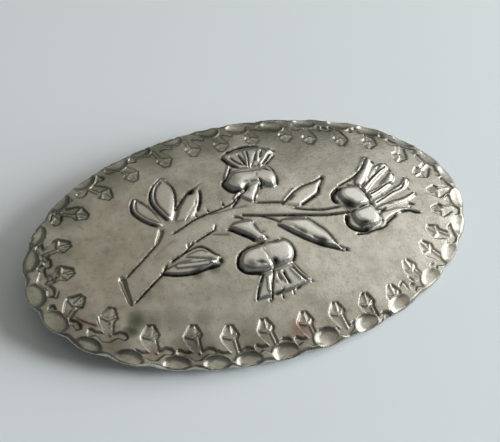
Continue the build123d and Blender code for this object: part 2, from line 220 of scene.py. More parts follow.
# What is worked up from behind. Each row has an outline, its rise, and the width of its rounded edge.
swells = {
    "stem": {"rise": 0.08, "soft": 1.2, "outline": [
        (-20.4, -2.6), (-17.0, -0.4), (-14.8, 1.2), (-13.4, 2.3), (-12.3, 1.9), (-9.0, 3.1), (-5.0, 3.7),
        (-2.0, 4.6), (-0.4, 6.0), (1.6, 6.4), (1.6, 5.0), (0.4, 3.7), (2.5, 2.7), (4.2, 2.1), (5.0, 0.9),
        (7.5, 0.1), (10.0, -0.7), (12.2, -0.6), (12.4, -1.9), (9.0, -1.5), (5.5, -0.5), (1.9, 0.5),
        (-1.0, 1.4), (-3.6, 2.0), (-6.7, 0.8), (-10.2, -0.2), (-14.0, -2.0), (-16.3, -3.7),
        (-20.4, -5.8)]},
    "leafLeft": {"rise": 0.26, "soft": 0.9, "outline": [
        (-15.1, 9.1), (-14.2, 8.0), (-13.5, 6.7), (-13.1, 5.2), (-13.0, 3.6), (-13.6, 3.5), (-14.7, 4.5),
        (-15.5, 5.6), (-16.0, 6.8), (-15.8, 8.0)]},
    "leafMiddle": {"rise": 0.34, "soft": 1.2, "outline": [
        (-10.2, 11.3), (-9.6, 10.2), (-9.5, 8.8), (-9.8, 7.2), (-10.5, 5.6), (-11.6, 3.9), (-12.3, 4.1),
        (-12.8, 5.4), (-13.1, 7.0), (-12.9, 8.6), (-11.9, 10.2)]},
    "leafRight": {"rise": 0.3, "soft": 1.0, "outline": [
        (-6.2, 8.0), (-6.3, 6.8), (-7.0, 5.4), (-8.0, 4.3), (-9.4, 3.4), (-11.2, 3.5), (-10.6, 4.9),
        (-9.4, 6.4), (-8.2, 7.5), (-7.2, 8.1)]},
    "leafUnder": {"rise": 0.25, "soft": 0.9, "outline": [
        (-15.8, -3.3), (-14.0, -2.3), (-12.5, -1.5), (-10.8, -1.0), (-9.4, -1.3), (-8.5, -2.3),
        (-7.7, -3.2), (-7.9, -4.1), (-8.8, -4.4), (-10.5, -4.4), (-12.2, -4.5), (-14.2, -4.1)]},
    "leafUpper": {"rise": 0.25, "soft": 0.9, "outline": [
        (3.9, 1.9), (5.5, 3.0), (7.0, 3.8), (8.5, 4.2), (10.2, 4.4), (11.6, 4.9), (11.2, 4.2),
        (10.2, 3.1), (9.4, 2.3), (8.0, 1.6), (6.2, 1.0), (4.8, 1.2)]},
    "leafLower": {"rise": 0.48, "soft": 1.5, "outline": [
        (2.0, -0.6), (3.8, -0.5), (5.9, -1.1), (6.8, -2.4), (7.6, -3.7), (8.0, -5.0), (8.4, -7.2),
        (7.2, -6.5), (6.0, -5.7), (4.5, -4.4), (3.0, -2.8)]},
    "topStalk": {"rise": 0.55, "soft": 0.9, "outline": [
        (-1.6, 4.9), (-0.5, 3.4), (0.5, 3.7), (1.5, 4.9), (2.1, 5.8), (2.2, 6.6), (0.6, 6.4), (-0.3, 5.6)]},
    "topCushion": {"rise": 0.8, "soft": 1.4, "outline": [
        (-2.7, 7.6), (-2.5, 6.6), (-1.9, 5.9), (-0.8, 5.6), (0.3, 6.1), (1.5, 6.2), (2.4, 5.6), (3.5, 5.0),
        (4.4, 5.3), (5.1, 6.5), (5.1, 7.9), (4.6, 8.9), (2.6, 8.9), (0.4, 9.3), (-0.6, 9.2), (-1.9, 8.5)]},
    "topFan": {"rise": 0.35, "soft": 0.8, "outline": [
        (0.4, 9.4), (3.9, 9.2), (5.4, 10.2), (7.0, 11.4), (6.6, 11.9), (5.0, 12.6), (3.0, 12.8),
        (1.2, 12.9), (-0.6, 12.6), (-0.7, 11.6), (-0.2, 10.6)]},
    "rightBulbUpper": {"rise": 0.75, "soft": 1.25, "outline": [
        (12.0, 0.6), (12.3, 1.7), (13.4, 2.3), (15.2, 2.0), (16.0, 0.9), (16.2, -0.5), (15.9, -1.5),
        (13.9, -1.7), (12.6, -0.9)]},
    "rightBulbLower": {"rise": 0.75, "soft": 1.25, "outline": [
        (12.2, -3.2), (12.6, -2.1), (13.9, -1.7), (15.9, -1.6), (16.4, -3.0), (16.2, -4.6), (14.5, -5.2),
        (12.8, -4.7)]},
    "petalTop": {"rise": 0.4, "soft": 0.7, "outline": [
        (15.5, 2.5), (17.1, 4.1), (18.3, 5.0), (19.6, 6.6), (20.5, 5.9), (19.9, 4.9), (18.4, 3.3),
        (17.0, 2.0), (15.9, 1.7)]},
    "petalSecond": {"rise": 0.38, "soft": 0.7, "outline": [
        (16.2, 1.4), (18.2, 2.5), (20.0, 3.6), (21.7, 4.9), (22.3, 4.2), (21.9, 3.7), (20.2, 2.7),
        (18.4, 1.7), (16.6, 0.6)]},
    "petalThird": {"rise": 0.38, "soft": 0.7, "outline": [
        (16.6, 0.3), (18.5, 0.7), (20.0, 1.4), (21.9, 2.9), (22.3, 2.1), (21.4, 1.1), (20.0, 0.4),
        (18.5, -0.2), (16.6, -0.7)]},
    "petalFourth": {"rise": 0.3, "soft": 0.5, "outline": [
        (16.7, -1.2), (18.9, -0.7), (21.0, 0.1), (22.5, 0.6), (23.8, 1.6), (24.2, 1.0), (23.2, 0.0),
        (22.1, -0.5), (20.0, -1.0), (18.0, -1.6), (16.7, -1.9)]},
    "petalFifth": {"rise": 0.28, "soft": 0.5, "outline": [
        (16.8, -2.3), (19.0, -1.9), (21.5, -1.8), (23.6, -1.3), (23.7, -1.8), (21.8, -2.5), (19.5, -2.8),
        (16.8, -2.9)]},
    "petalLowest": {"rise": 0.28, "soft": 0.5, "outline": [
        (16.6, -3.4), (18.5, -3.1), (20.5, -3.3), (22.8, -4.4), (22.8, -4.8), (20.8, -4.0), (18.7, -4.1),
        (16.4, -4.8)]},
    "lowStalk": {"rise": 0.5, "soft": 1.1, "outline": [
        (-4.9, 0.4), (-3.8, 1.0), (-1.6, 0.8), (-1.4, -0.6), (-0.7, -2.5), (-2.3, -2.8), (-3.1, -1.6),
        (-4.0, -0.6)]},
    "lowBulbLeft": {"rise": 0.8, "soft": 1.3, "outline": [
        (-1.3, -4.0), (-1.9, -3.3), (-3.0, -3.3), (-4.1, -3.4), (-5.2, -3.9), (-5.9, -4.8), (-6.0, -5.8),
        (-5.4, -6.6), (-4.0, -7.2), (-2.2, -7.25), (-1.5, -6.6), (-1.2, -5.3)]},
    "lowBulbRight": {"rise": 0.8, "soft": 1.3, "outline": [
        (-2.7, -4.4), (-2.2, -3.5), (-1.2, -3.1), (0.0, -3.3), (1.1, -3.3), (1.8, -4.0), (2.0, -5.1),
        (1.6, -6.2), (0.8, -6.9), (-1.0, -7.2), (-2.2, -6.8), (-2.7, -5.8)]},
    "lowFan": {"rise": 0.35, "soft": 0.8, "outline": [
        (-3.7, -7.5), (-4.7, -8.8), (-5.8, -10.5), (-3.8, -10.7), (-1.0, -10.7), (0.8, -10.5),
        (2.3, -10.1), (1.5, -8.6), (0.8, -7.1), (-1.7, -7.3)]},
}

# Thin ridges left standing between chased lines: points and how wide and how high
ridges = [
    ([(-0.6, 10.4), (-2.2, 8.2)], 0.55, 0.22), ([(2.5, 12.3), (2.3, 10.9), (1.9, 9.8)], 0.55, 0.2),
    ([(4.5, 11.7), (4.1, 10.9), (3.6, 10.0)], 0.5, 0.18), ([(5.7, 11.1), (4.5, 9.9), (3.7, 9.4)], 0.5, 0.2),
    ([(6.4, 10.8), (5.4, 10.0), (4.5, 9.3)], 0.3, 0.15), ([(-1.3, 5.5), (-2.3, 4.7)], 0.5, 0.2),
    ([(4.2, 2.4), (6.3, 3.8)], 0.5, 0.15), ([(-4.0, -7.7), (-5.0, -9.1), (-6.0, -10.4)], 0.4, 0.15),
    ([(-3.2, -8.2), (-3.8, -9.85)], 0.7, 0.22), ([(-1.4, -8.0), (-1.2, -9.3)], 0.6, 0.2),
    ([(0.2, -8.0), (0.8, -9.5)], 0.6, 0.18), ([(0.8, -7.3), (1.2, -8.7), (1.8, -10.0)], 0.3, 0.15),
    ([(17.2, 4.4), (18.2, 5.1), (19.4, 6.4)], 0.45, 0.15),
    ([(18.4, 2.8), (20.1, 4.2), (21.4, 4.6)], 0.5, 0.12),
    ([(19.4, 1.1), (20.5, 1.8), (21.8, 2.5)], 0.5, 0.12),
    ([(-13.5, -3.1), (-11.5, -3.5), (-9.4, -3.9)], 0.9, 0.25), ([(-9.1, -3.95), (-8.9, -3.9)], 1.0, 0.25),
    ([(-15.0, 8.8), (-15.55, 7.9), (-15.7, 6.8), (-15.2, 5.7), (-14.45, 4.65), (-13.6, 3.85)], 0.4, 0.12),
    ([(-10.6, 10.9), (-11.85, 9.9), (-12.7, 8.4), (-12.8, 7.0), (-12.4, 5.5), (-12.0, 4.4)], 0.4, 0.14),
    ([(2.0, -1.0), (3.3, -2.55), (4.75, -4.15), (6.2, -5.4), (7.4, -6.2)], 0.4, 0.14),
]

# The chasing tools, in mm. Past the reach, a line or form does nothing. At its ends a line has a share of
# its depth and width, and comes up to the whole over a short run. A line as deep as fullDark is quite
# dark, and a deeper one can be a little darker.
chasing = {"reach": 2.5, "endRun": 0.4, "endDepth": 0.45, "endWidth": 0.6, "fullDark": 0.16, "darkMost": 1.1}

# Lines chased from the front: points, how wide, and how deep
chased = [
    ([(-20.0, -2.3), (-17.0, -0.4), (-14.9, 1.0)], 0.35, 0.16),
    ([(-12.3, 1.9), (-10.5, 2.5), (-9.0, 3.1), (-7.0, 3.5), (-5.0, 3.7), (-3.0, 4.1), (-2.0, 4.7)],
     0.35, 0.18),
    ([(-6.5, 3.4), (-5.0, 3.3), (-3.0, 3.3), (-1.0, 3.1)], 0.35, 0.08),
    ([(-8.2, 3.3), (-8.3, 4.0)], 0.35, 0.18), ([(-6.4, 3.6), (-6.5, 4.3)], 0.35, 0.18),
    ([(-4.1, 3.9), (-4.1, 4.7)], 0.35, 0.18),
    ([(-20.2, -6.0), (-18.0, -4.7), (-16.3, -3.7), (-15.6, -3.3), (-14.6, -2.2)], 0.35, 0.18),
    ([(-14.0, -2.0), (-12.0, -1.3), (-10.2, -0.2)], 0.35, 0.18),
    ([(-11.2, -0.8), (-11.0, -0.1)], 0.35, 0.15),
    ([(-10.0, -0.2), (-8.4, 0.3), (-6.7, 0.8)], 0.35, 0.18), ([(-6.9, 0.7), (-6.4, 1.5)], 0.35, 0.18),
    ([(-16.0, -0.9), (-14.0, 0.3), (-12.5, 0.9)], 0.35, 0.06),
    ([(0.3, 3.25), (1.6, 2.9), (2.8, 2.6), (3.8, 2.3)], 0.4, 0.22), ([(3.8, 2.5), (3.8, 1.8)], 0.4, 0.22),
    ([(-3.6, 2.0), (-2.8, 1.6), (-2.4, 1.1)], 0.35, 0.2),
    ([(-2.5, 1.9), (-1.0, 1.4), (0.5, 0.9), (1.9, 0.5), (4.0, -0.1), (5.5, -0.5), (7.5, -1.1),
      (9.0, -1.5), (11.0, -1.8), (12.5, -2.0)], 0.38, 0.2),
    ([(5.0, 0.9), (6.5, 0.2), (8.0, -0.3), (9.5, -0.6), (11.5, -0.7)], 0.38, 0.2),
    ([(-0.2, 1.1), (0.5, 0.7), (1.5, -0.1), (2.1, -0.7)], 0.35, 0.18),
    # leaves
    ([(-15.1, 9.0), (-15.8, 8.0), (-16.0, 6.8), (-15.5, 5.6), (-14.7, 4.5), (-13.7, 3.6)], 0.38, 0.17),
    ([(-14.9, 8.5), (-15.25, 7.8), (-15.4, 6.8), (-14.95, 5.8), (-14.2, 4.8), (-13.4, 4.1)], 0.35, 0.12),
    ([(-14.9, 9.1), (-14.2, 8.0), (-13.6, 7.0)], 0.35, 0.15), ([(-13.6, 7.0), (-13.2, 5.6)], 0.35, 0.08),
    ([(-10.5, 11.2), (-12.0, 10.1), (-13.0, 8.5), (-13.1, 7.0), (-12.7, 5.4), (-12.2, 4.1)], 0.38, 0.17),
    ([(-10.7, 10.6), (-11.7, 9.7), (-12.4, 8.3), (-12.5, 7.0), (-12.1, 5.6), (-11.8, 4.6)], 0.4, 0.14),
    ([(-9.9, 10.7), (-9.5, 9.3), (-9.6, 8.0), (-10.0, 6.7), (-10.4, 5.8)], 0.38, 0.2),
    ([(-10.6, 5.4), (-9.0, 6.8), (-8.0, 7.6)], 0.45, 0.22), ([(-8.0, 7.3), (-7.2, 7.8)], 0.9, 0.2),
    ([(-6.2, 7.8), (-6.4, 6.8), (-7.0, 5.5), (-7.8, 4.4)], 0.5, 0.25),
    ([(-7.4, 6.0), (-8.0, 5.0), (-9.9, 3.3)], 0.35, 0.1),
    ([(-10.0, 6.7), (-8.0, 7.8), (-5.4, 8.8)], 0.3, 0.06),
    ([(-12.5, -1.5), (-10.0, -1.0), (-9.0, -1.6), (-8.3, -2.6), (-7.7, -3.2)], 0.38, 0.2),
    ([(-12.0, -1.9), (-10.0, -1.6), (-9.2, -2.2)], 0.3, 0.12), ([(-7.7, -3.4), (-8.2, -4.2)], 0.7, 0.2),
    ([(-15.8, -3.3), (-14.0, -4.1), (-12.0, -4.5), (-10.0, -4.4), (-8.2, -4.4)], 0.45, 0.25),
    ([(-12.2, -2.0), (-10.4, -2.7), (-8.8, -3.3)], 0.35, 0.14),
    ([(-15.0, -2.9), (-13.0, -2.5), (-11.5, -2.7)], 0.3, 0.12),
    ([(3.9, 2.0), (5.5, 3.0), (7.0, 3.8), (8.5, 4.2), (10.0, 4.4), (11.5, 4.9)], 0.38, 0.2),
    ([(11.6, 4.9), (11.3, 4.4), (10.2, 3.2), (9.5, 2.3), (8.0, 1.7), (6.2, 1.0)], 0.45, 0.24),
    ([(11.0, 4.5), (11.7, 4.9)], 0.8, 0.25), ([(5.0, 2.3), (6.0, 2.9)], 0.35, 0.15),
    ([(5.9, -1.1), (6.8, -2.4), (7.6, -3.7), (8.0, -5.0), (8.2, -6.2)], 0.4, 0.22),
    ([(1.5, -0.9), (3.0, -2.8), (4.5, -4.4), (6.0, -5.7), (7.4, -6.6), (8.6, -7.4)], 0.38, 0.18),
    ([(3.4, -2.0), (4.0, -2.9), (4.7, -3.6)], 0.5, 0.1),
    ([(5.2, -4.3), (5.9, -5.0), (6.7, -5.6)], 0.6, 0.14),
    ([(8.2, -6.4), (9.0, -7.2)], 0.35, 0.16), ([(8.9, -7.1), (9.3, -7.5)], 0.6, 0.25),
    # top thistle
    ([(0.2, 6.1), (-0.4, 5.3), (-1.4, 4.9), (-2.3, 4.1), (-3.1, 3.5)], 0.5, 0.26),
    ([(1.9, 5.7), (1.3, 4.9), (0.7, 4.3), (0.1, 3.4)], 0.4, 0.22),
    ([(2.2, 6.7), (2.4, 6.1), (2.1, 5.4)], 0.4, 0.25), ([(2.7, 5.9), (2.6, 5.6)], 0.4, 0.2),
    ([(-2.0, 8.2), (-2.7, 7.6), (-2.6, 6.8), (-2.1, 6.0), (-1.5, 5.8), (-0.9, 5.7)], 0.5, 0.28),
    ([(4.7, 9.0), (5.1, 8.2), (5.1, 7.2), (5.0, 6.3), (4.6, 5.4)], 0.42, 0.26),
    ([(-0.9, 8.8), (0.4, 8.65), (2.4, 8.4), (3.6, 8.3), (4.2, 7.7)], 0.45, 0.28),
    ([(-0.4, 10.15), (-2.0, 8.0)], 0.35, 0.2), ([(2.3, 7.9), (2.1, 7.1)], 0.3, 0.1),
    ([(-0.9, 12.4), (-0.7, 11.6), (-0.3, 10.7), (0.5, 9.6)], 0.42, 0.25),
    ([(0.1, 13.1), (2.0, 13.4), (3.5, 13.4), (5.1, 13.1)], 0.5, 0.25),
    ([(5.3, 12.2), (5.8, 11.8)], 0.5, 0.2),
    ([(-0.6, 12.7), (0.5, 12.8), (1.9, 12.8)], 0.35, 0.15),
    ([(0.2, 11.8), (0.6, 10.8), (1.3, 9.9)], 0.38, 0.25),
    ([(1.5, 12.0), (1.6, 11.0), (1.7, 9.7)], 0.38, 0.25),
    ([(3.0, 12.4), (2.7, 11.2), (2.0, 9.4)], 0.3, 0.2), ([(4.1, 11.5), (3.3, 10.4), (2.4, 9.3)], 0.3, 0.2),
    ([(5.2, 11.9), (4.3, 10.6)], 0.3, 0.2), ([(6.1, 10.9), (5.2, 10.1), (4.2, 9.4)], 0.3, 0.22),
    ([(6.6, 10.6), (5.6, 9.9), (4.5, 9.2)], 0.3, 0.22), ([(6.6, 11.5), (7.1, 11.5)], 0.6, 0.25),
    # right thistle
    ([(12.9, 2.3), (12.2, 1.9), (11.5, 1.4), (11.2, 0.5), (11.6, -0.1)], 0.75, 0.35),
    ([(12.5, 1.5), (13.1, 2.0), (14.1, 2.1), (15.4, 1.5)], 0.42, 0.22),
    ([(14.2, 2.65), (14.9, 2.3), (15.5, 1.8)], 0.3, 0.15),
    ([(11.9, -2.3), (11.4, -3.1), (11.3, -4.0), (11.9, -4.8), (12.8, -5.2), (13.9, -5.2)], 0.75, 0.38),
    ([(13.9, -1.8), (15.0, -1.6), (15.9, -1.7)], 0.35, 0.2), ([(13.2, -4.4), (13.9, -4.55)], 0.4, 0.15),
    ([(15.7, 1.6), (16.1, 0.9), (16.3, -0.1), (16.2, -1.3), (16.3, -2.7)], 0.4, 0.24),
    ([(11.6, -5.5), (13.0, -5.7), (14.5, -5.6), (16.2, -5.5), (17.2, -4.9), (19.0, -4.15)], 0.4, 0.2),
    ([(19.9, -3.9), (21.2, -4.0), (22.1, -4.5), (22.9, -4.8)], 0.35, 0.2),
    ([(13.1, 2.7), (15.0, 3.25), (16.7, 3.8), (18.0, 4.6), (19.1, 5.6), (19.8, 6.3)], 0.42, 0.25),
    ([(20.3, 5.8), (20.5, 5.3)], 0.5, 0.25), ([(22.1, 4.7), (22.25, 4.3)], 0.5, 0.25),
    ([(16.3, 1.4), (18.2, 2.4), (20.1, 3.4), (21.9, 4.05)], 0.38, 0.25),
    ([(22.3, 3.6), (22.3, 3.2)], 0.45, 0.22), ([(22.2, 2.7), (22.3, 2.4)], 0.45, 0.22),
    ([(16.8, -0.05), (18.5, 0.4), (20.2, 1.0), (21.4, 1.15)], 0.38, 0.25),
    ([(16.8, -1.65), (18.5, -1.15), (20.2, -0.6), (22.1, -0.2), (23.1, 0.6)], 0.35, 0.22),
    ([(23.95, 1.5), (24.25, 1.0)], 0.5, 0.25), ([(23.2, -0.3), (23.3, -0.6)], 0.4, 0.2),
    ([(23.9, -1.4), (23.9, -1.7)], 0.4, 0.2), ([(21.8, -2.8), (22.7, -3.2)], 0.4, 0.2),
    ([(16.9, -3.05), (17.9, -2.85)], 0.35, 0.2), ([(18.5, -0.4), (18.8, -0.5)], 0.35, 0.15),
    ([(18.5, -2.1), (19.4, -2.35)], 0.3, 0.12), ([(21.7, -3.5), (22.0, -3.4)], 0.3, 0.15),
    # lower thistle
    ([(-5.2, 0.3), (-4.6, -0.1), (-3.7, -1.0), (-2.9, -1.8), (-2.4, -2.6)], 0.55, 0.3),
    ([(-1.5, 0.2), (-1.4, -0.8), (-1.15, -1.7), (-0.6, -2.6)], 0.4, 0.24),
    ([(-7.5, 0.3), (-5.3, -0.5)], 0.35, 0.1), ([(-1.0, -1.4), (-0.6, -1.4)], 0.35, 0.15),
    ([(-1.2, -3.1), (-2.6, -3.2), (-4.1, -3.3), (-5.2, -3.8), (-5.9, -4.8), (-6.05, -5.7), (-5.5, -6.5),
      (-4.6, -6.9), (-3.5, -7.3)], 0.48, 0.28),
    ([(0.9, -3.2), (1.6, -3.7), (2.0, -4.5), (2.0, -5.4), (1.7, -6.2), (1.1, -6.9)], 0.42, 0.26),
    ([(-1.2, -3.1), (-0.5, -3.4), (0.3, -3.6)], 0.35, 0.15),
    ([(-2.4, -4.2), (-2.1, -5.1), (-2.1, -6.0)], 0.35, 0.08),
    ([(-4.0, -5.8), (-3.2, -6.0), (-2.6, -6.5)], 0.35, 0.12), ([(-1.5, -6.1), (-1.4, -6.6)], 0.8, 0.18),
    ([(-3.6, -7.5), (-4.5, -8.6), (-5.2, -9.6), (-5.7, -10.6)], 0.4, 0.25),
    ([(-1.85, -7.1), (-2.6, -8.5), (-3.2, -9.6), (-3.9, -11.2)], 0.35, 0.22),
    ([(-1.8, -8.1), (-1.75, -9.2)], 0.3, 0.15), ([(-2.5, -8.8), (-2.4, -9.2)], 0.5, 0.15),
    ([(-0.85, -7.9), (-0.9, -8.8), (-0.75, -9.8)], 0.5, 0.28),
    ([(0.5, -7.5), (0.9, -8.75), (1.5, -10.0)], 0.32, 0.22),
    ([(1.0, -7.1), (1.45, -8.5), (2.0, -9.85)], 0.32, 0.22), ([(2.25, -10.1), (2.4, -10.3)], 0.5, 0.25),
    ([(-3.3, -10.6), (-2.3, -10.5), (-1.8, -10.2)], 0.4, 0.2), ([(-0.3, -10.65), (0.6, -10.5)], 0.35, 0.18),
    ([(-4.1, -10.8), (-4.15, -11.4)], 0.35, 0.18), ([(-2.3, -10.8), (-2.3, -11.4)], 0.35, 0.18),
    ([(-0.75, -10.8), (-0.75, -11.3)], 0.35, 0.18),
    # where the leaf punch slipped
    ([(-29.5, 3.7), (-28.8, 4.7), (-28.4, 3.4), (-27.6, 4.6)], 0.3, 0.12),
    ([(-29.2, 0.4), (-28.5, 1.4), (-28.3, 0.2), (-27.4, 1.8)], 0.3, 0.14),
    ([(-29.4, -1.2), (-28.8, -2.0), (-28.2, -1.2)], 0.3, 0.12),
    ([(-26.2, 9.2), (-25.6, 10.2), (-24.9, 9.1), (-24.3, 9.9)], 0.3, 0.12),
    ([(-27.5, -5.3), (-26.7, -6.2), (-25.4, -7.3)], 0.3, 0.1),
    ([(-25.1, -6.3), (-25.1, -7.4), (-24.8, -8.3)], 0.3, 0.12),
    ([(13.6, -14.4), (14.4, -13.9), (14.7, -15.0)], 0.3, 0.12), ([(15.6, -13.4), (16.1, -14.2)], 0.3, 0.14),
    ([(16.6, -13.2), (16.9, -14.0)], 0.3, 0.12), ([(17.2, -12.9), (17.6, -13.6)], 0.3, 0.12),
]

# Tapered cuts: points, the width at the start and at the end, how deep, and how dark
wedges = [
    ([(-20.6, -2.2), (-20.7, -4.2), (-20.7, -6.1)], 1.0, 0.45, 0.35, 0.45),
    ([(-14.9, 1.0), (-14.1, 2.0), (-13.4, 3.0)], 0.35, 0.9, 0.3, 0.5),
]

# Stains, wear and painted shade: place, how far they reach, how much of them shows, and which colour. The
# dark patches in the creases and on the shaded sides of the forms, the brown on the top cushion's left lobe,
# and the grey between the lower marks and over the upper right of the face are painted shade. The brown
# along the lower border darkens it.
stainAndShadeTints = {"green": "#525E44", "rose": "#9C6F62", "brown": "#463828", "olive": "#8A7A50",
              "grey": "#5C5A54", "dark": "#1C1712"}
stainsAndShade = [
    (-22.0, 1.0, 11.0, 0.26, "olive"), (-13.0, 7.0, 8.0, 0.12, "olive"),
    (-20.8, -8.2, 1.6, 0.9, "green"), (-21.8, -9.2, 1.2, 0.9, "green"), (-19.3, -9.0, 1.8, 0.45, "grey"),
    (-16.4, -9.8, 2.2, 0.42, "grey"), (-13.4, -10.9, 1.6, 0.35, "grey"), (-8.0, -13.2, 1.8, 0.3, "grey"),
    (13.0, 9.5, 8.0, 0.25, "grey"), (1.5, -13.0, 2.0, 0.15, "grey"),
    (-28.0, 3.5, 4.5, 0.4, "green"), (-24.0, 10.0, 4.5, 0.55, "green"), (-17.0, 14.0, 4.5, 0.55, "green"),
    (-9.5, 16.2, 4.5, 0.55, "green"), (-1.0, 17.0, 4.5, 0.55, "green"), (8.0, 16.2, 4.5, 0.55, "green"),
    (16.5, 14.5, 4.5, 0.5, "green"), (24.0, 11.0, 4.0, 0.35, "green"), (-30.5, -2.0, 4.0, 0.35, "green"),
    (-28.0, -6.5, 4.0, 0.4, "brown"), (-26.8, -6.2, 1.1, 0.7, "rose"), (-25.6, -7.2, 0.8, 0.6, "rose"),
    (-28.2, -4.3, 1.0, 0.5, "rose"),
    (-25.0, -10.8, 3.2, 0.5, "brown"), (-15.6, -13.7, 3.2, 0.6, "brown"), (-8.5, -15.3, 3.0, 0.45, "brown"),
    (-3.5, -17.0, 2.6, 0.3, "brown"), (2.5, -17.0, 2.4, 0.2, "brown"), (8.5, -16.6, 2.4, 0.15, "brown"),
    (-2.0, -15.8, 1.9, 0.7, "rose"), (-20.1, -12.7, 1.2, 0.5, "rose"), (15.5, -14.8, 2.6, 0.25, "brown"),
    (12.7, -16.0, 1.4, 0.2, "rose"), (-17.8, 8.8, 1.5, 0.45, "rose"), (-21.5, 2.4, 1.3, 0.35, "grey"),
    (-24.0, 2.4, 1.2, 0.35, "grey"), (12.7, -1.0, 1.2, 0.9, "dark"), (-4.6, -5.9, 0.9, 0.7, "dark"),
    (-1.4, 7.3, 1.4, 0.5, "brown"), (0.3, 6.5, 0.6, 0.7, "dark"), (-1.4, -6.4, 0.7, 0.95, "dark"),
    (-3.2, -6.1, 0.5, 0.8, "dark"), (-7.5, 7.5, 0.8, 0.9, "dark"), (-7.9, -4.0, 0.6, 0.8, "dark"),
    (-11.5, -4.7, 1.0, 0.6, "dark"), (-9.2, -4.8, 0.9, 0.6, "dark"), (4.3, -3.2, 0.7, 0.5, "dark"),
    (6.2, -5.4, 0.9, 0.8, "dark"), (-18.5, -5.4, 1.2, 0.4, "brown"), (13.3, -4.4, 0.8, 0.7, "dark"),
]


# Farther than anything on the sheet, in mm
far = 1e3


# A smooth line through a few points
def smoothLine(points, closed=False, steps=4):
    line = [np.array(p, float) for p in points]
    if len(line) < 3:
        return np.array(line)
    if closed:
        line = [line[-1], *line, line[0], line[1]]
    else:
        line = [2 * line[0] - line[1], *line, 2 * line[-1] - line[-2]]
    smooth = []
    for a, b, c, d in zip(line, line[1:], line[2:], line[3:]):
        for step in range(steps):
            t = step / steps
            smooth.append(0.5 * (2 * b + (c - a) * t + (2 * a - 5 * b + 4 * c - d) * t**2
                                 + (3 * b - a - 3 * c + d) * t**3))
    if not closed:
        smooth.append(line[-2])
    return np.array(smooth)


# The spots that a line can reach, as indices
def nearBox(spots, line):
    low, high = line.min(axis=0) - chasing["reach"], line.max(axis=0) + chasing["reach"]
    return np.nonzero(((spots > low) & (spots < high)).all(axis=1))[0]


# The spots within a distance of a place, as indices
def nearPlace(spots, place, reach):
    return np.nonzero(np.linalg.norm(spots - place, axis=1) < reach)[0]


# How far each spot is from a line, how far along the line that is, and the line's length
def nearLine(spots, line):
    nearest = np.full(len(spots), far)
    along = np.zeros(len(spots))
    passed = 0.0
    for start, end in zip(line, line[1:]):
        run = end - start
        length = math.hypot(*run)
        share = np.clip((spots - start) @ run / length**2, 0, 1)
        apart = np.linalg.norm(spots - start - share[:, None] * run, axis=1)
        closer = apart < nearest
        nearest[closer] = apart[closer]
        along[closer] = passed + share[closer] * length
        passed += length
    return nearest, along, passed


# How far each spot is from a closed outline, and whether it is inside
def nearOutline(spots, outline):
    inside = np.zeros(len(spots), bool)
    for start, end in zip(outline, np.roll(outline, -1, axis=0)):
        if start[1] == end[1]:
            continue
        crosses = (start[1] > spots[:, 1]) != (end[1] > spots[:, 1])
        where = start[0] + (spots[:, 1] - start[1]) * (end[0] - start[0]) / (end[1] - start[1])
        inside ^= crosses & (spots[:, 0] < where)
    return nearLine(spots, np.vstack((outline, outline[:1])))[0], inside


def domeAt(spots):
    x, y = spots[:, 0] / plate["halfLength"], spots[:, 1] / plate["halfWidth"]
    return plate["crown"] * (1 - x**2 - y**2)


# A hill of height 1 around each spot of a line or place, down to 0 at its reach
def hill(apart, reach):
    return np.clip(1 - (apart / reach) ** 2, 0, 1)


def keepMore(layer, near, values):
    layer[near] = np.maximum(layer[near], values)


def keepLess(layer, near, values):
    layer[near] = np.minimum(layer[near], values)


def raiseSwells(spots, face):
    for row in swells.values():
        outline = smoothLine(row["outline"], closed=True)
        near = nearBox(spots, outline)
        apart, inside = nearOutline(spots[near], outline)
        form = 1 - (1 - np.clip(np.where(inside, apart, 0) / row["soft"], 0, 1)) ** 3
        keepMore(face["raised"], near, row["rise"] * form)
        keepMore(face["back"], near, row["rise"] * form**2)
        keepLess(face["edge"], near, apart)


def leaveRidges(spots, face):
    for points, wide, high in ridges:
        line = smoothLine(points)
        near = nearBox(spots, line)
        apart = nearLine(spots[near], line)[0]
        face["raised"][near] += high * hill(apart, wide / 2)
        keepLess(face["edge"], near, apart)


def chaseLines(spots, face):
    rows = [(points, wide, wide, deep, min(chasing["darkMost"], deep / chasing["fullDark"]))
            for points, wide, deep in chased]
    for points, startWide, endWide, deep, dark in rows + wedges:
        line = smoothLine(points)
        near = nearBox(spots, line)
        apart, along, length = nearLine(spots[near], line)
        fromEnd = np.minimum(along, length - along)
        taper = np.clip(fromEnd / chasing["endRun"] + chasing["endDepth"], 0, 1)
        wide = startWide + (endWide - startWide) * along / length
        narrowed = wide * (chasing["endWidth"] + (1 - chasing["endWidth"]) * taper)
        form = hill(apart, narrowed / 2) * taper
        keepMore(face["cut"], near, deep * form)
        # Painted shade and tarnish: each line is painted darker the deeper it is
        keepMore(face["tarnishAndShade"], near, dark * form)
        keepLess(face["edge"], near, np.maximum(apart - wide / 2, 0))


def punchMarks(spots, face):
    outline = np.array(markOutline)
    for x, y, bearing, strike in leafMarks:
        tip = np.array((x, y))
        near = nearPlace(spots, tip, mark["reach"])
        turn = math.radians(bearing)
        down = (spots[near] - tip) @ np.array((math.sin(turn), math.cos(turn)))
        out = (spots[near] - tip) @ np.array((math.cos(turn), -math.sin(turn)))
        local = np.stack((down, out), axis=1)
        apart, inside = nearOutline(local, outline)
        wall = np.clip(mark["wallStart"] + np.where(inside, apart, -apart) / mark["wall"], 0, 1)
        rib = np.zeros(len(near))
        for rod in markRibs:
            away = nearLine(local, np.array(rod))[0]
            rib = np.maximum(rib, np.clip(1 - away / mark["ribHalf"], 0, 1))
        form = wall * mark["depth"] - inside * mark["ribRise"] * rib
        keepMore(face["cut"], near, strike * form)
        ground = mark["ground"] + mark["line"] * hill(apart - mark["lineInset"], mark["lineHalf"])
        keepMore(face["tarnishAndShade"], near, strike * (inside * ground * (1 - mark["ribLighter"] * rib)))
        keepLess(face["edge"], near, apart)


